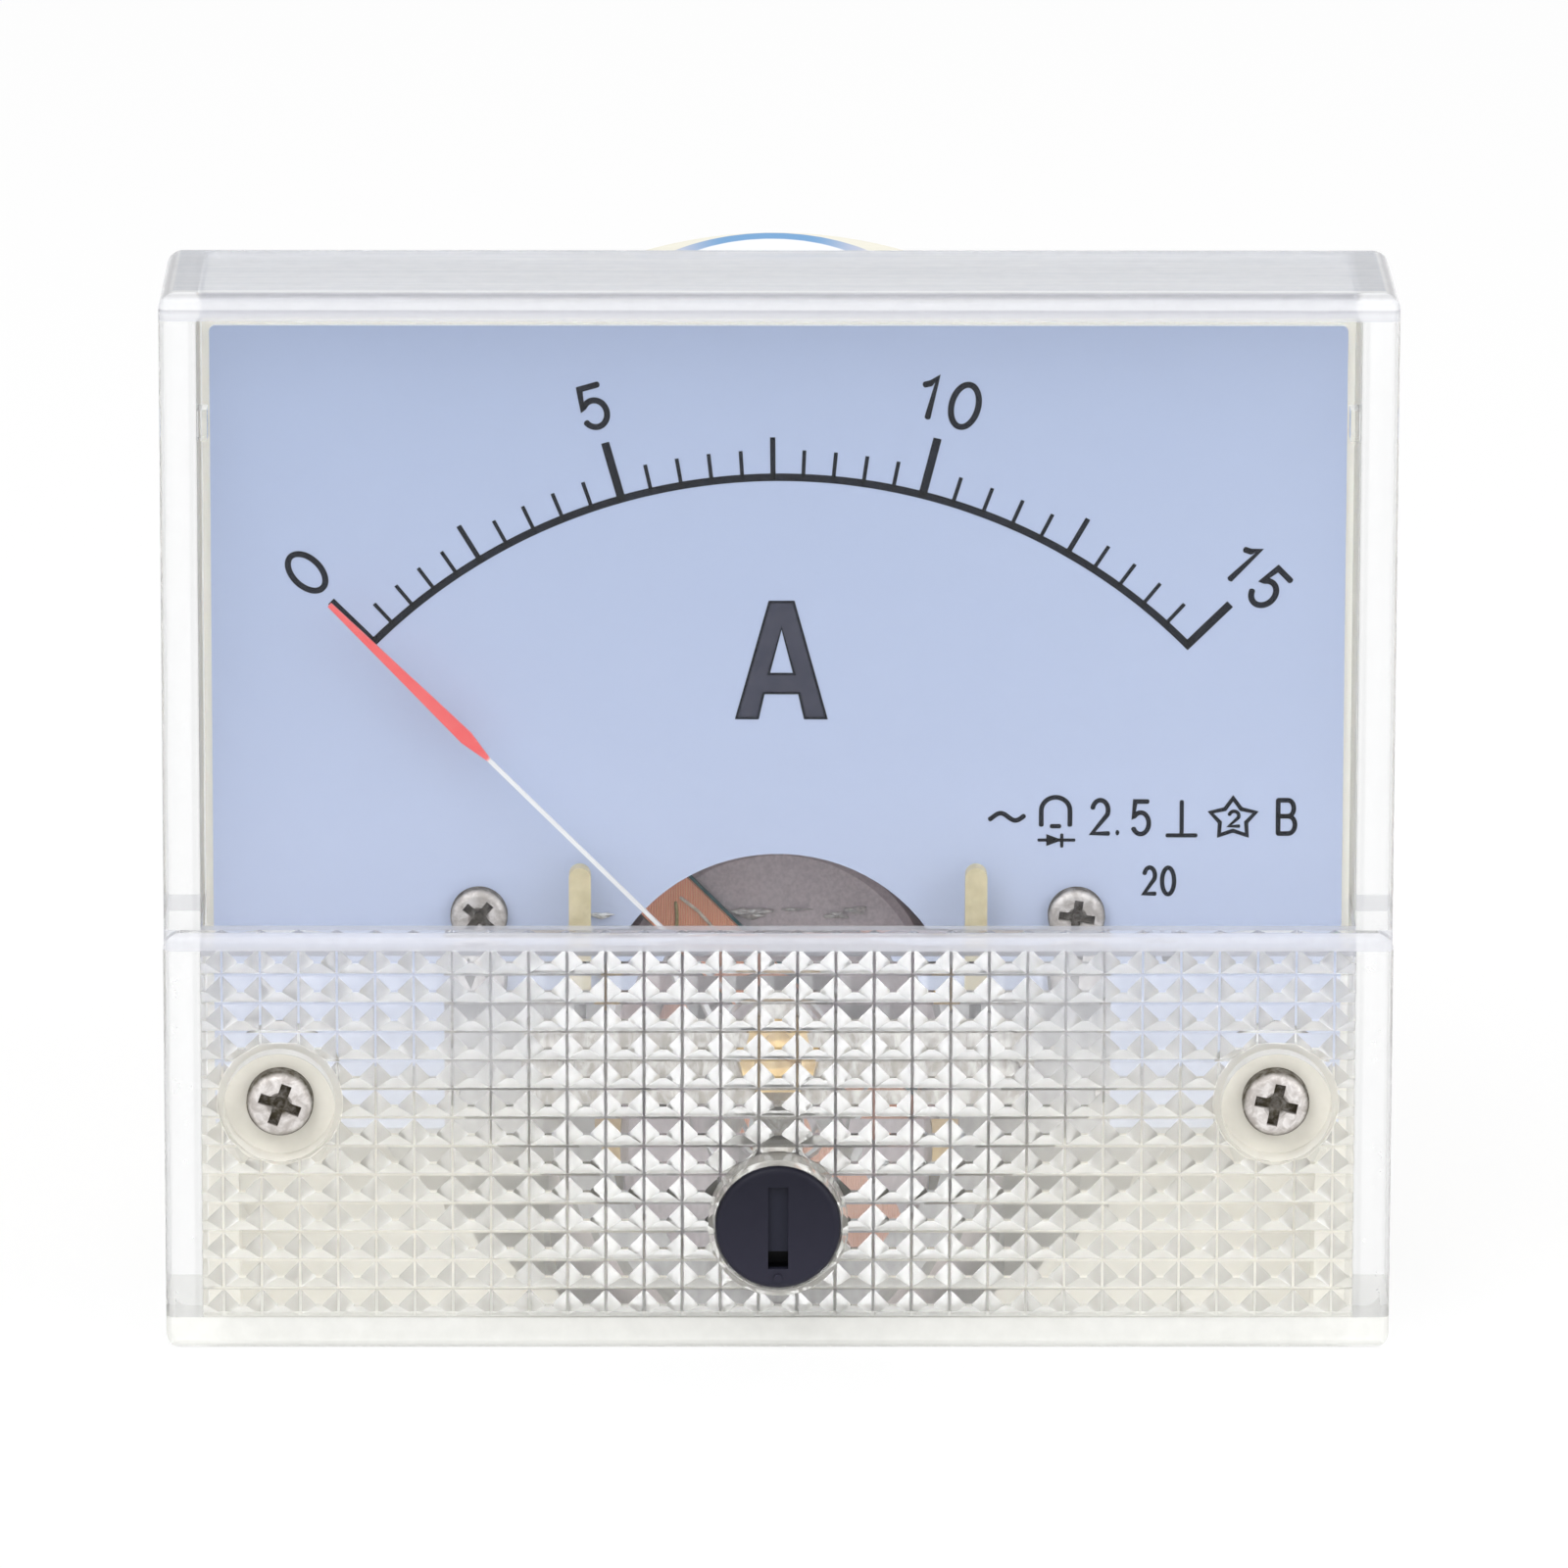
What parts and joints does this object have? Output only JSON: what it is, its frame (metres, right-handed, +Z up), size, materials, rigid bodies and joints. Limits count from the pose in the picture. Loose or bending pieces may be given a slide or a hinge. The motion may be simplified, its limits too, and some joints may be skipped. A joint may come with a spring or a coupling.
{
  "type": "analog panel meter",
  "caption": "Rectangular moving-coil panel meter with a clear patterned cover, blue dial, red-tipped pointer, zero adjuster and a round barrel behind the panel.",
  "frame": {"origin": "on the axis of the round barrel, in the plane of the panel face (the rear face of the flange)", "axes": "+Z up as the dial is read; -Y towards the reader; +Y through the panel to the terminals; +X to the reader's right"},
  "size_m": [0.064, 0.0549, 0.056],
  "materials": {
    "clear_acrylic": "clear moulded plastic, polished",
    "cream_plastic": "cream moulded plastic, satin",
    "black_plastic": "black moulded plastic",
    "cream_sleeve": "cream sleeve",
    "white_paper": "white paper label",
    "dial_blue": "pale blue painted sheet",
    "zinc_steel": "zinc-plated steel",
    "dark_wire": "dark steel wire",
    "grey_casting": "grey die casting",
    "soft_iron": "soft iron",
    "magnet_grey": "ground magnet alloy",
    "brass": "turned brass",
    "copper": "enamelled copper wire",
    "copper_strap": "copper strip",
    "former_teal": "aluminium former with blue-green varnish",
    "bright_steel": "polished steel",
    "pointer_white": "aluminium strip, painted white with a red blade",
    "board": "paper laminate board",
    "sleeve_black": "insulating sleeve",
    "diode_black": "moulded diode",
    "resistor_brown": "lacquered resistor"
  },
  "bodies": {
    "case": {"front_cover": "clear_acrylic", "base_housing": "cream_plastic", "cover_screw_left": "zinc_steel", "cover_screw_right": "zinc_steel", "mounting_stud_left": "zinc_steel", "mounting_stud_right": "zinc_steel", "rating_label": "white_paper", "dial_plate": "dial_blue", "dial_screw_left": "zinc_steel", "dial_screw_right": "zinc_steel", "pointer_stop_left": "dark_wire", "pointer_stop_right": "dark_wire", "stop_sleeve_left": "cream_sleeve", "stop_sleeve_right": "cream_sleeve", "movement_frame": "grey_casting", "frame_screws": "zinc_steel", "yoke_ring": "soft_iron", "core_magnet": "magnet_grey", "core_spider": "brass", "front_bridge": "zinc_steel", "front_bridge_posts": "brass", "front_bridge_screws": "zinc_steel", "front_jewel_screw": "brass", "front_lock_nut": "brass", "rear_bridge": "zinc_steel", "rear_bridge_posts": "brass", "rear_bridge_screws": "zinc_steel", "rear_jewel_screw": "brass", "rear_lock_nut": "brass", "rear_hairspring": "bright_steel", "terminal_stud_left": "brass", "terminal_stud_right": "brass", "terminal_washer_left": "brass", "terminal_washer_right": "brass", "spring_washer_left": "bright_steel", "spring_washer_right": "bright_steel", "terminal_nut_left": "brass", "terminal_nut_right": "brass", "primary_strap": "copper_strap", "primary_sleeve": "sleeve_black", "transformer_core": "soft_iron", "transformer_winding": "copper", "rectifier_board": "board", "board_screws": "zinc_steel", "rectifier_diodes": "diode_black", "calibration_resistor": "resistor_brown"},
    "movement": {"coil_former": "former_teal", "coil_winding": "copper", "front_staff": "bright_steel", "rear_staff": "bright_steel", "pointer": "pointer_white", "balance_weights": "zinc_steel"},
    "adjuster": {"zero_adjuster": "black_plastic", "adjuster_clip": "bright_steel"},
    "zero_lever": {"zero_lever": "zinc_steel", "front_hairspring": "bright_steel"}
  },
  "joints": [
    {"name": "pointer_swing", "type": "hinge", "parent": "case", "child": "movement", "pos_m": [0, -0.0083, -0.0112], "axis": [0, 1, 0], "range_deg": [-2, 92], "stiffness_Nm_per_rad": 0.00002, "deforming": ["front_hairspring", "rear_hairspring"]},
    {"name": "adjuster_turn", "type": "hinge", "parent": "case", "child": "adjuster", "pos_m": [0, -0.013, -0.0198], "axis": [0, 1, 0], "range_deg": [-30, 30]},
    {"name": "zero_lever_swing", "type": "hinge", "parent": "case", "child": "zero_lever", "pos_m": [0, -0.0095, -0.0112], "axis": [0, 1, 0], "range_deg": [-4.7, 4.7]}
  ],
  "couplings": [
    {"joint": "zero_lever_swing", "follows": "adjuster_turn", "ratio": -0.155}
  ]
}
